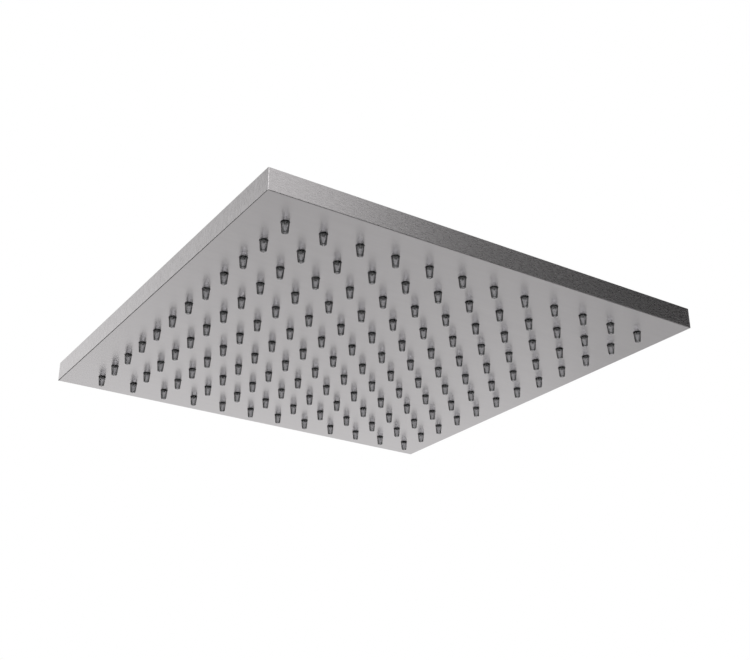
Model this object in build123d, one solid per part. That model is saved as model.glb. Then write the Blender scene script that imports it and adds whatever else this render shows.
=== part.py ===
from build123d import *
import os
from math import cos, radians, sin, sqrt, tan

# Square rain shower head on a ball joint, in millimetres.
# The origin is on the inlet's axis where its pipe thread starts, and +Z points up, out of the inlet.
# Everything below the ball turns and tilts about the ball's centre.

# Face pan: one steel sheet folded into a tray, open at the top
head_side = 250.0
head_height = 11.0
sheet = 1.0
edge_radius = 0.4

# Spray nozzles: silicone plugs pushed through the face from inside
nozzle_rows = 12
nozzle_margin = 19.3
nozzle_root_diameter = 4.2
nozzle_tip_diameter = 3.1
nozzle_length = 5.3
nozzle_flange_diameter = 5.8
nozzle_flange = 0.9
nozzle_funnel_diameter = 2.0
jet_diameter = 1.4
nozzle_gap = 0.05

# Back cover, its seal and the screws that close it
cover_thickness = 1.5
cover_recess = 0.2
cover_gap = 0.2
cover_corner_radius = 1.2
gasket_width = 6.0
gasket_corner_radius = 6.0
gasket_gap = 0.1
standoff_columns = (-5, -2, 2, 5)  # counted in nozzle spacings from the middle
standoff_diameter = 6.0
standoff_floor = 1.2
screw_diameter = 2.5
screw_length = 7.5
screw_head_diameter = 5.0
screw_rim = 0.2
screw_socket_flats = 2.0
screw_socket_depth = 0.9
screw_gap = 0.05

# Inlet spigot, clamped through the cover by a washer and a thin nut
spigot_passage_diameter = 17.6
spigot_wall = 1.85
spigot_flange = 2.5
spigot_flange_rim = 6.5
o_ring_cord = 1.6
o_ring_side_gap = 0.2
clamp_washer = 1.0
clamp_washer_rim = 6.0
lock_nut_height = 3.8
lock_nut_wall = 5.5
thread_gap = 0.05

# Ball joint
ball_diameter = 22.0
ball_flat_depth = 9.5
tilt_each_way = 10.0
ball_gap = 0.05
retainer_wall = 2.0
retainer_gap = 0.1
retainer_low_angle = 6.5
retainer_high_angle = 30.0
seal_gap = 0.1
seal_seat_gap = 0.05
seal_height = 5.6
seal_top_drop = 1.6
spigot_top_drop = 1.3
nut_relief = 0.4
thread_engagement = 6.0
nut_to_lock_nut = 0.5
nut_wall = 4.0
nut_hex_rise = 2.0
nut_height_over_ball = 10.0
nut_cap_diameter = 26.0
nut_cap_radius = 1.2
neck_to_lip = 0.3

# Ball stem: ball, neck and hexagon with the inlet's pipe thread
thread_diameter = 20.955
thread_length = 10.0
lead_in = 1.0
stem_flats = 26.0
stem_floor = 2.2
neck_wall = 3.0
water_bore_diameter = 8.0
neck_clear_length = 3.5

# Strainer and flow regulator inside the inlet
washer_thickness = 1.8
washer_diameter = 20.4
washer_bore = 13.0
washer_gap = 0.1
screen_thickness = 0.4
screen_hole_diameter = 1.6
screen_pitch = 2.2
screen_rings = 2
screen_holes_added = 6  # by each ring over the one inside it
regulator_diameter = 13.8
regulator_height = 4.6
regulator_gap = 0.1
regulator_channel_inner = 5.2
regulator_channel_outer = 10.8
regulator_channel_depth = 2.2
regulator_port_diameter = 1.0
regulator_port_circle = 6.4
regulator_ports = 8
regulator_ring_cord = 1.8

# Bevel of each hexagon: how far it drops from the end face to the corners
hexagon_bevel = 0.9

# Levels along Z, from the inlet down to the nozzle tips
stem_top = lead_in
recess_top = -thread_length
recess_floor = recess_top - washer_thickness - screen_thickness
pocket_floor = recess_floor - regulator_height
stem_low = pocket_floor - stem_floor
ball_z = stem_low - neck_clear_length - nut_height_over_ball
spigot_top = ball_z - spigot_top_drop
nut_low = spigot_top - thread_engagement
lock_nut_top = nut_low - nut_to_lock_nut
washer_top = lock_nut_top - lock_nut_height
cover_top = washer_top - clamp_washer
cover_low = cover_top - cover_thickness
wall_top = cover_top + cover_recess
underside = wall_top - head_height
face_top = underside + sheet
spigot_low = cover_low - spigot_flange

# Radii and spacings that follow from the sizes above
nozzle_pitch = (head_side - 2 * nozzle_margin) / (nozzle_rows - 1)
inner_side = head_side - 2 * sheet
ball_radius = ball_diameter / 2
retainer_inner = ball_radius + ball_gap
retainer_outer = retainer_inner + retainer_wall
cavity_radius = retainer_outer + retainer_gap
thread_radius = cavity_radius + spigot_wall
nut_bore = thread_radius + thread_gap
neck_radius = water_bore_diameter / 2 + neck_wall
seal_top = ball_z - seal_top_drop
seal_low = seal_top - seal_height
seal_seat = seal_low - seal_seat_gap

# The two tilts add up to this angle when both are at their ends
full_tilt = radians(tilt_each_way) * sqrt(2)
lip_radius = neck_radius / cos(full_tilt) + nut_height_over_ball * tan(full_tilt) + neck_to_lip

low_align = (Align.CENTER, Align.CENTER, Align.MIN)
nozzle_grid = GridLocations(nozzle_pitch, nozzle_pitch, nozzle_rows, nozzle_rows)
standoff_places = [
    Pos(column * nozzle_pitch, row * nozzle_pitch)
    for column in standoff_columns
    for row in standoff_columns
]


def disc(radius, low, high):
    return Pos(0, 0, low) * Cylinder(radius, high - low, align=low_align)


def tube(outer, inner, low, high):
    return disc(outer, low, high) - disc(inner, low, high)


def plate(side, low, high):
    return Pos(0, 0, low) * Box(side, side, high - low, align=low_align)


def turned(*outline):
    # Outline points are (radius, z), turned about the Z axis
    return revolve(Plane.XZ * make_face(Polyline(*outline, close=True)), Axis.Z)


def bevelled_hexagon(flats, low, high):
    corner = flats / sqrt(3)
    blank = turned(
        (0, low),
        (flats / 2, low),
        (corner, low + hexagon_bevel),
        (corner, high - hexagon_bevel),
        (flats / 2, high),
        (0, high),
    )
    prism = extrude(RegularPolygon(flats / 2, 6, major_radius=False), high - low)
    return blank & Pos(0, 0, low) * prism


def face_pan():
    tray = plate(head_side, underside, wall_top)
    folds = tray.edges().filter_by(Axis.Z) + tray.faces().sort_by(Axis.Z)[0].edges()
    tray = fillet(folds, edge_radius)
    tray -= plate(inner_side, face_top, wall_top)
    hole = disc(nozzle_root_diameter / 2 + nozzle_gap, underside, face_top)
    return tray - [place * hole for place in nozzle_grid]


def spray_nozzles():
    flange_top = face_top + nozzle_flange
    tip = underside - nozzle_length
    nozzle = turned(
        (nozzle_funnel_diameter / 2, flange_top),
        (nozzle_flange_diameter / 2, flange_top),
        (nozzle_flange_diameter / 2, face_top),
        (nozzle_root_diameter / 2, face_top),
        (nozzle_tip_diameter / 2, tip),
        (jet_diameter / 2, tip),
    )
    return Compound([place * nozzle for place in nozzle_grid])


def perimeter_gasket():
    outer_side = inner_side - 2 * gasket_gap
    opening_side = outer_side - 2 * gasket_width
    frame = Rectangle(outer_side, outer_side)
    frame -= RectangleRounded(opening_side, opening_side, gasket_corner_radius)
    return Pos(0, 0, face_top) * extrude(frame, cover_low - face_top)


def weld_standoffs():
    post = disc(standoff_diameter / 2, face_top, cover_low)
    post -= disc(screw_diameter / 2 + screw_gap, face_top + standoff_floor, cover_low)
    post -= screw_cone(screw_gap)
    return Compound([place * post for place in standoff_places])


def screw_cone(grow):
    # Head of a countersunk screw from its top face down, at 45 degrees
    head = screw_head_diameter / 2 + grow
    shank = screw_diameter / 2 + grow
    rim_low = cover_top - screw_rim
    return turned(
        (0, cover_top),
        (head, cover_top),
        (head, rim_low),
        (shank, rim_low - (head - shank)),
        (0, rim_low - (head - shank)),
    )


def back_cover():
    cover = plate(inner_side - 2 * cover_gap, cover_low, cover_top)
    cover = fillet(cover.edges().filter_by(Axis.Z), cover_corner_radius)
    cover -= disc(nut_bore, cover_low, cover_top)
    screw_hole = disc(screw_diameter / 2 + screw_gap, cover_low, cover_top) + screw_cone(screw_gap)
    return cover - [place * screw_hole for place in standoff_places]


def cover_screws():
    screw = screw_cone(0) + disc(screw_diameter / 2, cover_top - screw_length, cover_top - screw_rim)
    socket = extrude(RegularPolygon(screw_socket_flats / 2, 6, major_radius=False), screw_socket_depth)
    screw -= Pos(0, 0, cover_top - screw_socket_depth) * socket
    return Compound([place * screw for place in standoff_places])


def o_ring_circle():
    # The groove lies midway across the flange's rim
    return thread_radius + spigot_flange_rim / 2


def inlet_spigot():
    passage = spigot_passage_diameter / 2
    spigot = turned(
        (passage, spigot_low),
        (thread_radius + spigot_flange_rim, spigot_low),
        (thread_radius + spigot_flange_rim, cover_low),
        (thread_radius, cover_low),
        (thread_radius, spigot_top),
        (cavity_radius, spigot_top),
        (cavity_radius, seal_seat),
        (passage, seal_seat),
    )
    half_groove = o_ring_cord / 2 + o_ring_side_gap
    middle = o_ring_circle()
    return spigot - tube(middle + half_groove, middle - half_groove, cover_low - o_ring_cord, cover_low)


def spigot_o_ring():
    return Pos(0, 0, cover_low - o_ring_cord / 2) * Torus(o_ring_circle(), o_ring_cord / 2)


def spigot_washer():
    return tube(thread_radius + clamp_washer_rim, nut_bore, cover_top, washer_top)


def lock_nut():
    nut = bevelled_hexagon(2 * (thread_radius + lock_nut_wall), washer_top, lock_nut_top)
    return nut - disc(nut_bore, washer_top, lock_nut_top)


def swivel_nut():
    flats = 2 * (thread_radius + nut_wall)
    hex_top = ball_z + nut_hex_rise
    nut_top = ball_z + nut_height_over_ball
    cap = Pos(0, 0, hex_top) * Cone(flats / 2, nut_cap_diameter / 2, nut_top - hex_top, align=low_align)
    cap = fillet(cap.edges().sort_by(Axis.Z)[-1], nut_cap_radius)
    nut = bevelled_hexagon(flats, nut_low, hex_top) + cap
    nut -= disc(nut_bore, nut_low, spigot_top + nut_relief)
    nut -= Pos(0, 0, ball_z) * Sphere(cavity_radius)
    return nut - disc(lip_radius, ball_z, nut_top)


def retainer_ring():
    # A zone of a spherical shell, so that it can turn between the ball and the nut
    low = ball_z + retainer_inner * sin(radians(retainer_low_angle))
    high = ball_z + retainer_inner * sin(radians(retainer_high_angle))
    shell = Sphere(retainer_outer) - Sphere(retainer_inner)
    return Pos(0, 0, ball_z) * shell & disc(retainer_outer, low, high)


def ball_seal():
    ring = disc(cavity_radius - seal_gap, seal_low, seal_top)
    return ring - Pos(0, 0, ball_z) * Sphere(retainer_inner)


def ball_stem():
    ball = Pos(0, 0, ball_z) * Sphere(ball_radius)
    ball -= disc(ball_radius, ball_z - ball_radius, ball_z - ball_flat_depth)
    stem = ball + disc(neck_radius, ball_z, stem_low) + bevelled_hexagon(stem_flats, stem_low, stem_top)
    inlet_radius = thread_diameter / 2
    stem -= turned(
        (0, stem_top),
        (inlet_radius + lead_in, stem_top),
        (inlet_radius, 0),
        (0, 0),
    )
    stem -= disc(inlet_radius, recess_top, 0)
    stem -= disc(washer_diameter / 2 + washer_gap, recess_floor, recess_top)
    stem -= disc(regulator_diameter / 2 + regulator_gap, pocket_floor, recess_floor)
    return stem - disc(water_bore_diameter / 2, ball_z - ball_radius, pocket_floor)


def filter_washer():
    return tube(washer_diameter / 2, washer_bore / 2, recess_top - washer_thickness, recess_top)


def filter_screen():
    screen = disc(washer_diameter / 2, recess_floor, recess_floor + screen_thickness)
    hole = disc(screen_hole_diameter / 2, recess_floor, recess_floor + screen_thickness)
    screen -= hole
    for ring in range(1, screen_rings + 1):
        holes_in_ring = screen_holes_added * ring
        screen -= [place * hole for place in PolarLocations(ring * screen_pitch, holes_in_ring)]
    return screen


def flow_regulator():
    channel_floor = recess_floor - regulator_channel_depth
    body = disc(regulator_diameter / 2, pocket_floor, recess_floor)
    body -= tube(regulator_channel_outer / 2, regulator_channel_inner / 2, channel_floor, recess_floor)
    port = disc(regulator_port_diameter / 2, pocket_floor, channel_floor)
    return body - [place * port for place in PolarLocations(regulator_port_circle / 2, regulator_ports)]


def regulator_o_ring():
    middle = (regulator_channel_outer + regulator_channel_inner) / 4
    ring_z = recess_floor - regulator_channel_depth + regulator_ring_cord / 2
    return Pos(0, 0, ring_z) * Torus(middle, regulator_ring_cord / 2)


pieces = [
    face_pan,
    spray_nozzles,
    perimeter_gasket,
    weld_standoffs,
    back_cover,
    cover_screws,
    inlet_spigot,
    spigot_o_ring,
    spigot_washer,
    lock_nut,
    swivel_nut,
    retainer_ring,
    ball_seal,
    ball_stem,
    filter_washer,
    filter_screen,
    flow_regulator,
    regulator_o_ring,
]

os.makedirs("parts", exist_ok=True)
for piece in pieces:
    export_step(piece(), f"parts/{piece.__name__}.step")
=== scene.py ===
import math
import bpy
import numpy as np
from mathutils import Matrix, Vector


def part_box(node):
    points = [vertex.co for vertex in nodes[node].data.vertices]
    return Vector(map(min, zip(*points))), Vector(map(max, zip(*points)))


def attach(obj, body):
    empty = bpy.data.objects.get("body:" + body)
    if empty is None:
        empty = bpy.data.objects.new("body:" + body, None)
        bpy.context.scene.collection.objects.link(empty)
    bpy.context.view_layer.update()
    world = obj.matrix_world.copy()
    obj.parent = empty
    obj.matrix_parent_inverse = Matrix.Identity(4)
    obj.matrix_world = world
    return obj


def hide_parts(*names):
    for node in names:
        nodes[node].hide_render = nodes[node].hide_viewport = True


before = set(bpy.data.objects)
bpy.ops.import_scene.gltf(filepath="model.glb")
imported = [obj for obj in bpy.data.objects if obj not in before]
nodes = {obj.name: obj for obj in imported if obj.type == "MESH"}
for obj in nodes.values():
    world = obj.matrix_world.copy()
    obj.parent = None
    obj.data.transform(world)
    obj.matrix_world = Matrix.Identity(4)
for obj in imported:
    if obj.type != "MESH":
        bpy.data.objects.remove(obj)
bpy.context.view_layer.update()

# Square rain shower head on a ball joint, seen from below. Meshes are in metres. Sizes in the dictionaries
# are in millimetres and angles in degrees, unless a note says otherwise.
mm = 0.001
scene = bpy.context.scene
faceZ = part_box("face_pan")[0].z  # the wide face, which looks down
print("frame loaded, nodes:", len(nodes))


# helpers

def linearFromHex(code):
    # sRGB hex to linear: the toe of the curve is straight, the rest is a 2.4 power
    srgb = np.array([int(code[i:i + 2], 16) for i in (0, 2, 4)]) / 255
    linear = np.where(srgb <= 0.04045, srgb / 12.92, ((srgb + 0.055) / 1.055) ** 2.4)
    return (*linear.tolist(), 1.0)


def addNode(tree, kind, settings=None, links=None):
    # Settings are node properties or input values, links are sockets that feed an input. A Mix node mixes
    # numbers from 2 to 3, vectors from 4 to 5 and colours from 6 to 7, into its outputs 0, 1 and 2.
    node = tree.nodes.new(kind)
    for name, value in (settings or {}).items():
        if isinstance(name, str) and hasattr(node, name):
            setattr(node, name, value)
        else:
            node.inputs[name].default_value = value
    for name, socket in (links or {}).items():
        tree.links.new(socket, node.inputs[name])
    return node


def startMaterial(name):
    material = bpy.data.materials.new(name)
    material.use_nodes = True
    tree = material.node_tree
    tree.nodes.clear()
    shader = addNode(tree, "ShaderNodeBsdfPrincipled")
    addNode(tree, "ShaderNodeOutputMaterial", links={"Surface": shader.outputs["BSDF"]})
    place = addNode(tree, "ShaderNodeTexCoord")
    return material, tree, shader, place


noiseRange = (0.3, 0.7)  # most values of a noise lie between these


def dressShader(tree, shader, setup, pattern):
    # The pattern takes the tone from dark to light and the roughness from its first value to its second,
    # and stands out as a slight relief.
    tone = addNode(tree, "ShaderNodeMix", {
        "data_type": "RGBA", 6: linearFromHex(setup["dark"]), 7: linearFromHex(setup["light"])},
        {"Factor": pattern})
    gloss = addNode(tree, "ShaderNodeMapRange", {
        "From Min": noiseRange[0], "From Max": noiseRange[1],
        "To Min": setup["roughness"][0], "To Max": setup["roughness"][1]}, {"Value": pattern})
    bump = addNode(tree, "ShaderNodeBump", {
        "Strength": setup["bumpStrength"], "Distance": setup["bumpHeight"] * mm}, {"Height": pattern})
    tree.links.new(tone.outputs[2], shader.inputs["Base Color"])
    tree.links.new(gloss.outputs[0], shader.inputs["Roughness"])
    tree.links.new(bump.outputs[0], shader.inputs["Normal"])
    return tone.outputs[2]


def meshPiece(name, points, faces, material, sharpAngle=40):
    mesh = bpy.data.meshes.new(name)
    mesh.from_pydata(points.reshape(-1, 3).tolist(), [], [face for block in faces for face in block.tolist()])
    mesh.shade_smooth()
    mesh.set_sharp_from_angle(angle=math.radians(sharpAngle))
    mesh.materials.append(material)
    piece = bpy.data.objects.new(name, mesh)
    scene.collection.objects.link(piece)
    return piece


def gridFaces(rows, columns, closedRows, closedColumns):
    # quads between neighbouring points of a rows by columns grid, joined round where it is closed
    r = np.arange(rows if closedRows else rows - 1)[:, None]
    c = np.arange(columns if closedColumns else columns - 1)[None, :]
    nextRow, nextColumn = (r + 1) % rows, (c + 1) % columns
    corners = [
        r * columns + c, nextRow * columns + c, nextRow * columns + nextColumn, r * columns + nextColumn]
    return np.stack(np.broadcast_arrays(*corners), -1).reshape(-1, 4)


# materials

brushedSteel = {
    "name": "stainless_sheet_brushed",
    "dark": "B1AEAF",
    "light": "D9D6D7",
    "grainWidth": 0.5,  # real brush lines are about 0.06 mm wide, drawn coarser so that they show
    "sideGrainWidth": 0.7,  # on the two walls that face X
    "grainLength": 3.0,
    "faceLineWidth": 2.5,  # on the wide face, bands of such lines
    "faceLineLength": 30.0,
    "faceShare": 0.15,  # how strong the grain of the wide face is beside that of the walls
    "sideNormal": 0.7,  # a surface whose normal has more than this along X is a wall that faces X
    "faceNormal": (0.5, 0.9),  # the same along Z, from wall to wide face
    "roughness": (0.265, 0.295),
    "bumpStrength": 0.03,
    "bumpHeight": 0.04,
}
coverSteel = {
    **brushedSteel,
    "name": "stainless_sheet_brushed_coarse",  # a coarser belt leaves it duller than the pan
    "dark": "B4B2B3",
    "light": "D6D4D5",
    "grainWidth": 0.8,
    "sideGrainWidth": 0.8,
    "grainLength": 8.0,
    "faceLineWidth": 1.0,
    "faceLineLength": 40.0,
    "faceShare": 0.5,
    "roughness": (0.46, 0.54),
    "bumpStrength": 0.05,
}


def makeBrushedSteel(setup):
    # Stainless sheet, belt brushed along X before it was folded: a grey satin metal with short fine lines,
    # which run on round the folds, so they stand upright on the two walls that face X. The wide face is
    # brushed finer than the walls, and only faint bands of its lines show.
    material, tree, shader, place = startMaterial(setup["name"])
    across, along = 1 / (setup["grainWidth"] * mm), 1 / (setup["grainLength"] * mm)
    sideAcross = 1 / (setup["sideGrainWidth"] * mm)
    faceAcross, faceAlong = 1 / (setup["faceLineWidth"] * mm), 1 / (setup["faceLineLength"] * mm)
    normal = addNode(tree, "ShaderNodeSeparateXYZ", links={"Vector": place.outputs["Normal"]})
    flat = addNode(tree, "ShaderNodeMapping", {"Scale": (along, across, across)},
                   {"Vector": place.outputs["Object"]})
    upright = addNode(tree, "ShaderNodeMapping", {"Scale": (sideAcross, sideAcross, along)},
                      {"Vector": place.outputs["Object"]})
    facing = addNode(tree, "ShaderNodeMath", {"operation": "ABSOLUTE"}, {0: normal.outputs["X"]})
    onSide = addNode(tree, "ShaderNodeMath", {"operation": "GREATER_THAN", 1: setup["sideNormal"]},
                     {0: facing.outputs[0]})
    lines = addNode(tree, "ShaderNodeMix", {"data_type": "VECTOR"}, {
        "Factor": onSide.outputs[0], 4: flat.outputs["Vector"], 5: upright.outputs["Vector"]})
    grain = addNode(tree, "ShaderNodeTexNoise", {"Scale": 1.0, "Detail": 1.0}, {"Vector": lines.outputs[1]})
    wide = addNode(tree, "ShaderNodeMapping", {"Scale": (faceAlong, faceAcross, faceAcross)},
                   {"Vector": place.outputs["Object"]})
    faceGrain = addNode(tree, "ShaderNodeTexNoise", {"Scale": 1.0, "Detail": 1.0},
                        {"Vector": wide.outputs["Vector"]})
    faceDepth = addNode(tree, "ShaderNodeMapRange", {
        "To Min": 0.5 - setup["faceShare"] / 2, "To Max": 0.5 + setup["faceShare"] / 2},
        {"Value": faceGrain.outputs["Fac"]})
    level = addNode(tree, "ShaderNodeMath", {"operation": "ABSOLUTE"}, {0: normal.outputs["Z"]})
    onFace = addNode(tree, "ShaderNodeMapRange", {
        "From Min": setup["faceNormal"][0], "From Max": setup["faceNormal"][1]}, {"Value": level.outputs[0]})
    depth = addNode(tree, "ShaderNodeMix", {"data_type": "FLOAT"}, {
        "Factor": onFace.outputs[0], 2: grain.outputs["Fac"], 3: faceDepth.outputs[0]})
    shader.inputs["Metallic"].default_value = 1.0
    dressShader(tree, shader, setup, depth.outputs[0])
    return material


platedBrass = {
    "name": "brass_turned_satin_nickel_plated",
    "dark": "B5B2AD",
    "light": "C8C5C0",
    "lineWidth": 0.25,  # turning lines are about 0.1 mm apart, drawn coarser so that they show
    "lineLength": 8.0,
    "endNormal": 0.8,  # a surface whose normal has more than this along Z is an end
    "roughness": (0.22, 0.34),
    "bumpStrength": 0.12,
    "bumpHeight": 0.02,
}
bareBrass = {
    **platedBrass,
    "name": "brass_bar_turned",
    "dark": "B08D4A",
    "light": "CDAE6A",
    "lineWidth": 0.3,
    "lineLength": 10.0,
    "roughness": (0.24, 0.36),
    "bumpStrength": 0.15,
}
screwSteel = {
    **platedBrass,
    "name": "stainless_wire_headed_bright",
    "dark": "D2D1D1",
    "light": "E4E3E3",
    "lineWidth": 0.2,
    "lineLength": 2.0,
    "roughness": (0.10, 0.18),
    "bumpStrength": 0.08,
}


def makeTurnedMetal(setup):
    # Bar turned on a lathe about Z: fine rings on its ends and lines round its sides, which stretch a
    # highlight. On the screws, which lie far from that axis, they are nearly straight, as faint scratches.
    material, tree, shader, place = startMaterial(setup["name"])
    across, along = 1 / (setup["lineWidth"] * mm), 1 / (setup["lineLength"] * mm)
    point = addNode(tree, "ShaderNodeSeparateXYZ", links={"Vector": place.outputs["Object"]})
    normal = addNode(tree, "ShaderNodeSeparateXYZ", links={"Vector": place.outputs["Normal"]})
    level = addNode(tree, "ShaderNodeVectorMath", {"operation": "MULTIPLY", 1: (1, 1, 0)},
                    {0: place.outputs["Object"]})
    radius = addNode(tree, "ShaderNodeVectorMath", {"operation": "LENGTH"}, {0: level.outputs["Vector"]})
    facing = addNode(tree, "ShaderNodeMath", {"operation": "ABSOLUTE"}, {0: normal.outputs["Z"]})
    onEnd = addNode(tree, "ShaderNodeMath", {"operation": "GREATER_THAN", 1: setup["endNormal"]},
                    {0: facing.outputs[0]})
    step = addNode(tree, "ShaderNodeMix", {"data_type": "FLOAT"}, {
        "Factor": onEnd.outputs[0], 2: point.outputs["Z"], 3: radius.outputs["Value"]})
    ringed = addNode(tree, "ShaderNodeCombineXYZ", links={
        "X": point.outputs["X"], "Y": point.outputs["Y"], "Z": step.outputs[0]})
    lines = addNode(tree, "ShaderNodeMapping", {"Scale": (along, along, across)},
                    {"Vector": ringed.outputs[0]})
    grain = addNode(tree, "ShaderNodeTexNoise", {"Scale": 1.0, "Detail": 2.0},
                    {"Vector": lines.outputs["Vector"]})
    shader.inputs["Metallic"].default_value = 1.0
    dressShader(tree, shader, setup, grain.outputs["Fac"])
    return material


smokySilicone = {
    "name": "silicone_rubber_moulded_smoky_clear",
    "dark": "F0F0F2",
    "light": "F6F6F8",
    "paintedRootShade": "000000",  # painted shade, where it comes out of its dark hole
    "paintedShadeLength": (0.2, 0.6),  # below the face, from the full painted shade to none of it
    "smokeTone": "808084",
    "smokeDensity": 130.0,  # of the smoky tint, for each metre of the light's way
    "grain": 0.8,
    "roughness": (0.01, 0.03),
    "ior": 1.41,
    "transmission": 0.93,
    "bumpStrength": 0.05,
    "bumpHeight": 0.02,
}
sealRubber = {
    "name": "nitrile_rubber_moulded_black",
    "dark": "161616",
    "light": "232221",
    "grain": 0.5,  # mould grain is nearer 0.05 mm, drawn coarser so that it shows
    "roughness": (0.50, 0.68),
    "ior": 1.52,
    "transmission": 0.0,
    "bumpStrength": 0.20,
    "bumpHeight": 0.02,
}
whiteAcetal = {
    "name": "acetal_moulded_white",
    "dark": "DEDBD2",
    "light": "EBE9E2",
    "grain": 1.5,
    "roughness": (0.32, 0.44),
    "ior": 1.48,
    "transmission": 0.0,
    "bumpStrength": 0.06,
    "bumpHeight": 0.02,
}


def makeMoulded(setup):
    # Moulded rubber or plastic: an even colour with a faint cloudiness and a fine grain off the mould wall,
    # which breaks up its highlights. Silicone lets light through and bends it, its smoky tint darkens a
    # longer way through it more, and its root is painted dark: painted shade of the hole it stands in.
    material, tree, shader, place = startMaterial(setup["name"])
    grain = addNode(tree, "ShaderNodeTexNoise", {"Scale": 1 / (setup["grain"] * mm), "Detail": 3.0},
                    {"Vector": place.outputs["Object"]})
    shader.inputs["IOR"].default_value = setup["ior"]
    shader.inputs["Transmission Weight"].default_value = setup["transmission"]
    colour = dressShader(tree, shader, setup, grain.outputs["Fac"])
    # painted shade: near the face the base colour goes to the dark tone, as the hole would shade the root
    if "paintedRootShade" in setup:
        point = addNode(tree, "ShaderNodeSeparateXYZ", links={"Vector": place.outputs["Object"]})
        start, end = setup["paintedShadeLength"]
        root = addNode(tree, "ShaderNodeMapRange", {
            "From Min": faceZ - end * mm, "From Max": faceZ - start * mm}, {"Value": point.outputs["Z"]})
        rooted = addNode(tree, "ShaderNodeMix", {"data_type": "RGBA", 7: linearFromHex(setup["paintedRootShade"])}, {
            "Factor": root.outputs[0], 6: colour})
        tree.links.new(rooted.outputs[2], shader.inputs["Base Color"])
    if "smokeTone" in setup:
        smoke = addNode(tree, "ShaderNodeVolumeAbsorption", {
            "Color": linearFromHex(setup["smokeTone"]), "Density": setup["smokeDensity"]})
        tree.links.new(smoke.outputs["Volume"], tree.nodes["Material Output"].inputs["Volume"])
    return material


steel = makeBrushedSteel(brushedSteel)
dullSteel = makeBrushedSteel(coverSteel)
nickel = makeTurnedMetal(platedBrass)
brass = makeTurnedMetal(bareBrass)
brightSteel = makeTurnedMetal(screwSteel)
silicone = makeMoulded(smokySilicone)
rubber = makeMoulded(sealRubber)
acetal = makeMoulded(whiteAcetal)
nodeFinishes = [
    (steel, ("face_pan", "weld_standoffs", "spigot_washer", "filter_screen")),
    (dullSteel, ("back_cover",)),
    (brightSteel, ("cover_screws",)),
    (nickel, ("lock_nut", "swivel_nut", "ball_stem")),
    (brass, ("inlet_spigot",)),
    (silicone, ("spray_nozzles",)),
    (rubber, ("perimeter_gasket", "spigot_o_ring", "ball_seal", "filter_washer", "regulator_o_ring")),
    (acetal, ("retainer_ring", "flow_regulator")),
]
for finish, names in nodeFinishes:
    for name in names:
        for materialSlot in nodes[name].material_slots:
            materialSlot.material = finish
print("materials on", sum(len(names) for finish, names in nodeFinishes), "nodes")


# spray nozzles

nozzle = {
    "rows": 12,
    "rootDiameter": 4.2,
    "tipDiameter": 3.1,
    "flangeDiameter": 5.8,
    "flangeThickness": 0.9,
    "funnelDiameter": 2.0,
    "jetDiameter": 1.4,
    "tipRound": 0.2,
    "sides": 12,
    "sharpAngle": 60,
}


def makeNozzles(setup):
    # One profile of radius against height, turned about Z in equal steps and repeated on a square grid.
    # The profile goes from the funnel's rim round the flange, down the outside, round the tip's edge and
    # back up the funnel inside.
    low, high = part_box("spray_nozzles")
    flangeLow = high.z - setup["flangeThickness"] * mm
    tip, soft = setup["tipDiameter"] / 2, setup["tipRound"]
    profile = np.array([
        (setup["funnelDiameter"] / 2 * mm, high.z),
        (setup["flangeDiameter"] / 2 * mm, high.z),
        (setup["flangeDiameter"] / 2 * mm, flangeLow),
        (setup["rootDiameter"] / 2 * mm, flangeLow),
        (tip * mm, low.z + soft * mm),
        ((tip - soft) * mm, low.z),
        (setup["jetDiameter"] / 2 * mm, low.z),
    ])
    turn = np.arange(setup["sides"]) * 2 * np.pi / setup["sides"]
    around = np.stack([np.cos(turn), np.sin(turn)], -1)
    reach = (high.x - low.x) / 2 - setup["flangeDiameter"] / 2 * mm
    steps = np.linspace(-reach, reach, setup["rows"])
    centres = np.stack(np.meshgrid(steps, steps), -1).reshape(-1, 1, 1, 2)
    flat = profile[None, :, None, :1] * around[None, None] + centres
    heights = np.broadcast_to(profile[None, :, None, 1:], (*flat.shape[:3], 1))
    points = np.concatenate([flat, heights], -1)
    one = gridFaces(len(profile), setup["sides"], True, True)
    offsets = np.arange(len(centres))[:, None, None] * len(profile) * setup["sides"]
    piece = meshPiece("nozzle_set", points, one[None] + offsets, silicone, setup["sharpAngle"])
    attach(piece, "head")
    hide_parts("spray_nozzles")
    return piece


nozzles = makeNozzles(nozzle)
print("nozzles:", nozzle["rows"] ** 2, "faces:", len(nozzles.data.polygons))


# inlet thread

inletThread = {
    "outerDiameter": 20.955,
    "pitch": 1.814,
    "depth": 1.162,
    "length": 9.6,
    "crest": 0.30,  # width of the ridge at its rounded top
    "crestFlat": 0.4,  # share of the crest that is flat
    "shoulder": 0.94,  # share of the depth at which the crest's rounding starts
    "foot": 0.96,  # share of the pitch that the foot takes
    "wallLine": 0.9,  # share of the foot at which the ridge comes out of the wall
    "sunk": 0.06,  # how far its foot lies in the wall
    "endSunk": 0.02,  # how much further at its two ends
    "runOut": 0.4,  # turns over which the ridge rises at each end
    "stepsPerTurn": 48,
    "sharpAngle": 50,
}


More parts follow.
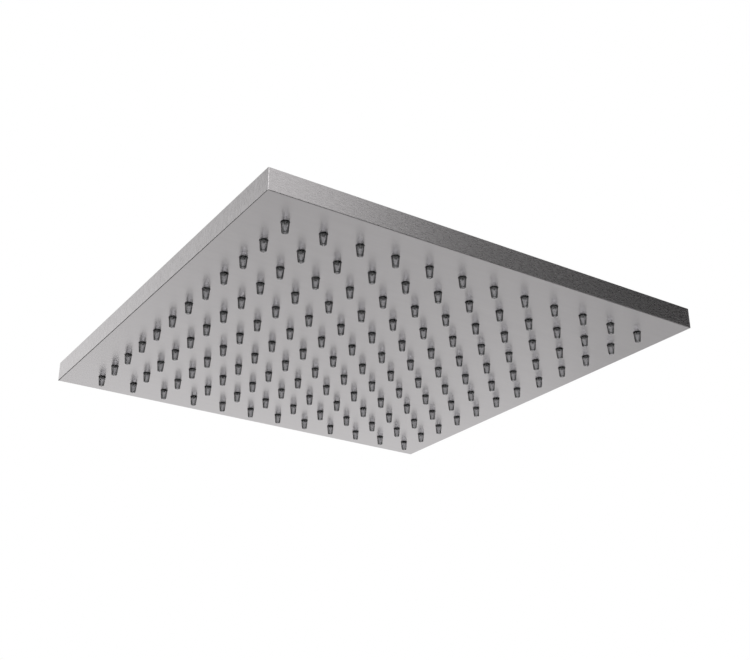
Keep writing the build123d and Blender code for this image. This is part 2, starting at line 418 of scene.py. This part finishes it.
def makeInletThread(setup):
    # A ridge profile carried along a helix inside the inlet: at each step the profile's depth is cut
    # down near the two ends, so that the ridge rises out of the wall.
    turns = setup["length"] / setup["pitch"] - 1
    steps = int(turns * setup["stepsPerTurn"]) + 1
    along = np.linspace(0, turns, steps)
    rise = np.clip(np.minimum(along, turns - along) / setup["runOut"], 0, 1)
    rise = (rise * rise * (3 - 2 * rise))[:, None]  # slow at its start and its end
    foot, crest = setup["pitch"] / 2 * setup["foot"], setup["crest"] / 2
    across = np.array([foot, foot * setup["wallLine"], crest, crest * setup["crestFlat"]])
    across = np.concatenate([across, -across[::-1]])
    depth = np.array([-setup["sunk"], 0, setup["depth"] * setup["shoulder"], setup["depth"]])
    depth = np.concatenate([depth, depth[::-1]])
    inward = np.where(depth > 0, depth * rise, depth - setup["endSunk"] * (1 - rise))
    radius = setup["outerDiameter"] / 2 - inward
    angle = along[:, None] * 2 * np.pi
    height = -(along[:, None] + 0.5) * setup["pitch"] + across
    points = np.stack([radius * np.cos(angle), radius * np.sin(angle), height], -1) * mm
    first = np.arange(len(across))
    last = (steps * len(across) - 1) - first
    sides = gridFaces(steps, len(across), False, True)
    piece = meshPiece("inlet_thread", points, [sides, np.stack([first, last])], nickel, setup["sharpAngle"])
    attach(piece, "stem")
    return piece


thread = makeInletThread(inletThread)
print("inlet thread faces:", len(thread.data.polygons))


# studio, with sizes and places in metres

paperFinish = {"cloud": 0.25, "roughness": 0.95}
studio = {
    "skyForDiffuse": 0.85,  # strength of the white room as a light on matt surfaces
    # painted light: a glow, an emission that no lamp gives, goes from its first value to its second over the
    # fade
    "floor": {
        "paper": "paper_floor_pale", "dark": "CBCBCB", "light": "D0D0D0",
        "drop": 0.80, "side": 40.0, "glow": (0.0, 1.0), "fade": (1.08, 2.15), "spread": 1.4,
    },
    # the ceiling's glow is painted light: an emission, not lit by any lamp
    "ceiling": {
        "paper": "cloth_ceiling_painted_glow", "dark": "040404", "light": "060606",
        "height": 1.0, "width": 4.3, "reach": (-1.2, 2.9),
        "glow": (0.58, 0.96), "fade": (1.3, 2.6), "spread": 2.2,
    },
    "flags": {
        "side_flag": {
            "paper": "cloth_flag_grey", "dark": "606060", "light": "686868",
            "azimuth": -54.75, "distance": 1.25, "width": 0.372, "top": 0.95, "bottom": 0.25,
        },
        "far_flag": {
            "paper": "cloth_flag_dark_grey", "dark": "121212", "light": "1A1A1A",
            "azimuth": -32.6, "distance": 1.25, "width": 0.62, "top": 0.95, "bottom": 0.25,
        },
        "side_card": {
            "paper": "card_grey", "dark": "9C9C9C", "light": "A4A4A4",
            "azimuth": -40.6, "distance": 1.25, "width": 1.0, "top": 0.28,
        },
        "back_flag": {
            "paper": "cloth_flag_black", "dark": "282828", "light": "303030",
            "azimuth": 122.0, "distance": 0.85, "width": 1.0, "top": 0.0,
        },
        "near_flag": {
            "paper": "cloth_flag_black_near", "dark": "282828", "light": "303030",
            "azimuth": -79.0, "distance": 0.6, "width": 0.28, "top": 0.08,
        },
        "right_card": {
            "paper": "card_pale", "dark": "CACACA", "light": "CECECE",
            "azimuth": 32.0, "distance": 1.9, "width": 0.62, "top": -0.53,
        },
        "low_flag": {
            "paper": "cloth_flag_black_low", "dark": "282828", "light": "303030",
            "azimuth": -45.0, "distance": 0.7, "width": 0.9, "top": -0.30,
        },
    },
    "keyLamp": {"power": 3.4, "place": (-0.565, -1.738, 0.75), "aim": (0, 0, 0), "size": (0.35, 0.8)},
}


def makePaper(setup):
    # Matt paper or cloth: an even tone with a faint cloudiness. Where it glows, its tone gives way to painted
    # light, an unlit emission that grows with the distance from the middle line, which is the spread long
    # each way along X.
    material, tree, shader, place = startMaterial(setup["paper"])
    cloud = addNode(tree, "ShaderNodeTexNoise", {"Scale": 1 / paperFinish["cloud"], "Detail": 4.0},
                    {"Vector": place.outputs["Object"]})
    tone = addNode(tree, "ShaderNodeMix", {
        "data_type": "RGBA", 6: linearFromHex(setup["dark"]), 7: linearFromHex(setup["light"])},
        {"Factor": cloud.outputs["Fac"]})
    shader.inputs["Roughness"].default_value = paperFinish["roughness"]
    shader.inputs["Specular IOR Level"].default_value = 0.0
    if "glow" not in setup:
        tree.links.new(tone.outputs[2], shader.inputs["Base Color"])
        return material
    # painted light: from here on the paper glows with the distance, though no lamp lights it
    point = addNode(tree, "ShaderNodeSeparateXYZ", links={"Vector": place.outputs["Object"]})
    sideways = addNode(tree, "ShaderNodeMath", {"operation": "ABSOLUTE"}, {0: point.outputs["X"]})
    beyond = addNode(tree, "ShaderNodeMath", {"operation": "SUBTRACT", 1: setup["spread"]},
                     {0: sideways.outputs[0]})
    past = addNode(tree, "ShaderNodeMath", {"operation": "MAXIMUM", 1: 0.0}, {0: beyond.outputs[0]})
    offset = addNode(tree, "ShaderNodeCombineXYZ", links={"X": past.outputs[0], "Y": point.outputs["Y"]})
    distance = addNode(tree, "ShaderNodeVectorMath", {"operation": "LENGTH"}, {0: offset.outputs[0]})
    share = addNode(tree, "ShaderNodeMapRange", {"From Min": setup["fade"][0], "From Max": setup["fade"][1]},
                    {"Value": distance.outputs["Value"]})
    glow = addNode(tree, "ShaderNodeMapRange", {"To Min": setup["glow"][0], "To Max": setup["glow"][1]},
                   {"Value": share.outputs[0]})
    rest = addNode(tree, "ShaderNodeMix", {"data_type": "RGBA", 7: (0, 0, 0, 1)}, {
        "Factor": share.outputs[0], 6: tone.outputs[2]})
    shader.inputs["Emission Color"].default_value = (1, 1, 1, 1)
    tree.links.new(glow.outputs[0], shader.inputs["Emission Strength"])
    tree.links.new(rest.outputs[2], shader.inputs["Base Color"])
    return material


def stagePanel(name, centre, right, up, setup):
    # a flat panel: its centre plus or minus half of its two sides
    centre, right, up = (np.array(v, float) for v in (centre, right, up))
    signs = np.array([(-1, -1), (1, -1), (1, 1), (-1, 1)])
    points = centre + signs[:, :1] * right / 2 + signs[:, 1:] * up / 2
    panel = meshPiece(name, points, [np.arange(4)[None]], makePaper(setup))
    return panel


def onlyInReflections(panel):
    # the panel shapes what the metal and the silicone mirror, and leaves the floor's light alone
    panel.visible_camera = False
    panel.visible_diffuse = False
    panel.visible_shadow = False


def turnedTowards(direction):
    # a lamp and a camera look along their own -Z, with Y up
    return Vector(direction).to_track_quat("-Z", "Y")


def makeStudio(setup):
    floor, ceiling = setup["floor"], setup["ceiling"]
    floorZ = faceZ - floor["drop"]
    stagePanel("floor", (0, 0, floorZ), (floor["side"], 0, 0), (0, floor["side"], 0), floor)
    near, far = ceiling["reach"]
    onlyInReflections(stagePanel("ceiling", (0, (near + far) / 2, ceiling["height"]), (0, far - near, 0),
                                 (ceiling["width"], 0, 0), ceiling))
    for name, flag in setup["flags"].items():
        # it stands on the floor or hangs over it, square to the line from the object
        azimuth = math.radians(flag["azimuth"])
        outward = np.array([math.cos(azimuth), math.sin(azimuth), 0])
        bottom = flag.get("bottom", floorZ)
        centre = outward * flag["distance"] + np.array([0, 0, (flag["top"] + bottom) / 2])
        across = np.cross(outward, (0, 0, 1)) * flag["width"]
        onlyInReflections(stagePanel(name, centre, across, (0, 0, flag["top"] - bottom), flag))
    key = setup["keyLamp"]
    lamp = bpy.data.lights.new("key_lamp", "AREA")
    lamp.energy = key["power"]
    lamp.shape = "RECTANGLE"
    lamp.size, lamp.size_y = key["size"]
    holder = bpy.data.objects.new("key_lamp", lamp)
    holder.location = key["place"]
    holder.rotation_mode = "QUATERNION"
    holder.rotation_quaternion = turnedTowards(Vector(key["aim"]) - Vector(key["place"]))
    holder.visible_camera = False
    scene.collection.objects.link(holder)


def makeWorld(setup):
    # white to the camera and in metal and glass, softer as a light on matt surfaces
    world = bpy.data.worlds.new("white_room")
    world.use_nodes = True
    scene.world = world
    tree = world.node_tree
    tree.nodes.clear()
    rays = addNode(tree, "ShaderNodeLightPath")
    shiny = addNode(tree, "ShaderNodeMath", {"operation": "MAXIMUM"}, {
        0: rays.outputs["Is Glossy Ray"], 1: rays.outputs["Is Transmission Ray"]})
    seen = addNode(tree, "ShaderNodeMath", {"operation": "MAXIMUM"}, {
        0: rays.outputs["Is Camera Ray"], 1: shiny.outputs[0]})
    level = addNode(tree, "ShaderNodeMapRange", {"To Min": setup["skyForDiffuse"], "To Max": 1.0},
                    {"Value": seen.outputs[0]})
    sky = addNode(tree, "ShaderNodeBackground", {"Color": (1, 1, 1, 1)}, {"Strength": level.outputs[0]})
    addNode(tree, "ShaderNodeOutputWorld", links={"Surface": sky.outputs[0]})


makeStudio(studio)
makeWorld(studio)
print("studio set")


# camera

cameraSetup = {
    "azimuth": -33.05,
    "elevation": -24.03,
    "distance": 0.5974,  # m
    "target": (-0.0133, -0.0208),  # m, on the face
    "sensorWidth": 36.0,
    "lens": 54.30,
    "shift": (0.0230, 0.0100),  # shares of the sensor's width
    "clip": (0.01, 50.0),  # m
}


def makeCamera(setup):
    camera = bpy.data.cameras.new("camera")
    camera.sensor_width = setup["sensorWidth"]
    camera.lens = setup["lens"]
    camera.shift_x, camera.shift_y = setup["shift"]
    camera.clip_start, camera.clip_end = setup["clip"]
    azimuth, elevation = math.radians(setup["azimuth"]), math.radians(setup["elevation"])
    level = math.cos(elevation)
    back = Vector((math.sin(azimuth) * level, -math.cos(azimuth) * level, math.sin(elevation)))
    holder = bpy.data.objects.new("camera", camera)
    holder.location = Vector((*setup["target"], faceZ)) + back * setup["distance"]
    holder.rotation_mode = "QUATERNION"
    holder.rotation_quaternion = turnedTowards(-back)
    scene.collection.objects.link(holder)
    scene.camera = holder


makeCamera(cameraSetup)
scene.view_settings.view_transform = "Standard"
